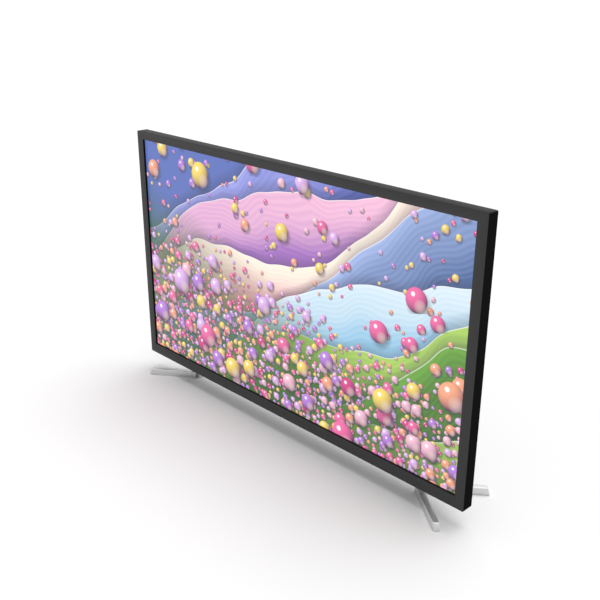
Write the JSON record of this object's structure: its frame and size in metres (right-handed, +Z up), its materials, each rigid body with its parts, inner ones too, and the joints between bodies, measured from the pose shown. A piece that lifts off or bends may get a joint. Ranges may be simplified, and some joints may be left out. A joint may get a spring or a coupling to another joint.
{
  "type": "flat screen television",
  "caption": "Flat screen television: slim black bezel, backlit display module, electronics, speakers and a jog button in a moulded back, on V shaped metal feet.",
  "frame": {"origin": "on the floor under the middle of the set, midway between the front and rear toes of its feet", "axes": "+X across the screen to the viewer's right, +Y from the screen to the back, +Z up"},
  "size_m": [0.926, 0.17, 0.581],
  "materials": {
    "bezel_plastic": "fine satin, black",
    "cover_plastic": "fine texture, black",
    "screen": "smooth, shows a picture",
    "frame_plastic": "satin, black",
    "clear_film": "translucent",
    "white_plastic": "matt, white",
    "lens_plastic": "clear",
    "lamp_board": "white lacquer",
    "zinc_steel": "zinc coated, dull",
    "circuit_board": "green lacquer",
    "amber_film": "amber film",
    "ribbon": "grey white",
    "bare_aluminium": "extruded, plain",
    "socket_metal": "bright nickel",
    "socket_plastic": "black",
    "ferrite": "dark, dull",
    "can_sleeve": "dark sleeve",
    "black_screw": "black",
    "lens_window": "dark, smooth",
    "wire_skin": "insulated leads",
    "foot_metal": "satin silver",
    "pad_rubber": "matt",
    "speaker_paper": "stiff cone, black",
    "speaker_metal": "dull",
    "button_plastic": "satin, black",
    "clip_plastic": "natural nylon"
  },
  "bodies": {
    "set": {"front_bezel": "bezel_plastic", "rear_cover": "cover_plastic", "rear_cover_screws": "black_screw", "lcd_cell": "screen", "mid_frame": "frame_plastic", "module_screws": "zinc_steel", "prism_sheet": "clear_film", "diffuser_sheet": "clear_film", "diffuser_plate": "white_plastic", "diffuser_supports": "white_plastic", "reflector_sheet": "white_plastic", "led_lenses": "lens_plastic", "back_chassis": "zinc_steel", "source_board_left": "circuit_board", "source_board_right": "circuit_board", "source_films": "amber_film", "ribbon_cables": "ribbon", "timing_board": "circuit_board", "main_board": "circuit_board", "heat_sink": "bare_aluminium", "hdmi_sockets": "socket_metal", "usb_socket": "socket_metal", "lan_socket": "socket_plastic", "audio_socket": "socket_plastic", "antenna_socket": "socket_metal", "power_board": "circuit_board", "power_transformer": "ferrite", "power_capacitors": "can_sleeve", "power_heat_sinks": "bare_aluminium", "ac_inlet": "socket_plastic", "board_screws": "zinc_steel", "wifi_module": "circuit_board", "ir_lens": "lens_window", "ir_board": "circuit_board", "wiring_loom": "wire_skin", "cable_clips": "clip_plastic", "wall_bracket_right": "zinc_steel", "wall_bracket_left": "zinc_steel", "wall_mount_nuts": "zinc_steel", "jog_cradle": "button_plastic", "jog_board": "circuit_board", "foot_right": "foot_metal", "foot_left": "foot_metal", "foot_bracket_right": "zinc_steel", "foot_bracket_left": "zinc_steel", "foot_screws": "black_screw", "foot_pads": "pad_rubber", "led_bar_1": "lamp_board", "led_bar_2": "lamp_board", "led_bar_3": "lamp_board", "led_bar_4": "lamp_board", "speaker_box_right": "cover_plastic", "speaker_box_left": "cover_plastic", "speaker_driver_right": "speaker_metal", "speaker_driver_left": "speaker_metal"},
    "jog_plunger": {"jog_plunger": "button_plastic"},
    "jog_gimbal": {"jog_gimbal": "button_plastic"},
    "jog_knob": {"jog_knob": "button_plastic"},
    "speaker_cone_left": {"speaker_cone_left": "speaker_paper"},
    "speaker_cone_right": {"speaker_cone_right": "speaker_paper"}
  },
  "joints": [
    {"name": "jog_press", "type": "slide", "parent": "set", "child": "jog_plunger", "axis": [0, -1, 0], "range_m": [0, 0.0012], "stiffness_N_per_m": 1500},
    {"name": "jog_up_down", "type": "hinge", "parent": "jog_plunger", "child": "jog_gimbal", "pos_m": [0.395, -0.012, 0.1], "axis": [1, 0, 0], "range_deg": [-8, 8], "stiffness_Nm_per_rad": 0.17},
    {"name": "jog_left_right", "type": "hinge", "parent": "jog_gimbal", "child": "jog_knob", "pos_m": [0.395, -0.012, 0.1], "axis": [0, 0, 1], "range_deg": [-8, 8], "stiffness_Nm_per_rad": 0.17},
    {"name": "speaker_cone_left_travel", "type": "slide", "parent": "set", "child": "speaker_cone_left", "axis": [0, 0, 1], "range_m": [-0.001, 0.001], "stiffness_N_per_m": 800},
    {"name": "speaker_cone_right_travel", "type": "slide", "parent": "set", "child": "speaker_cone_right", "axis": [0, 0, 1], "range_m": [-0.001, 0.001], "stiffness_N_per_m": 800}
  ]
}
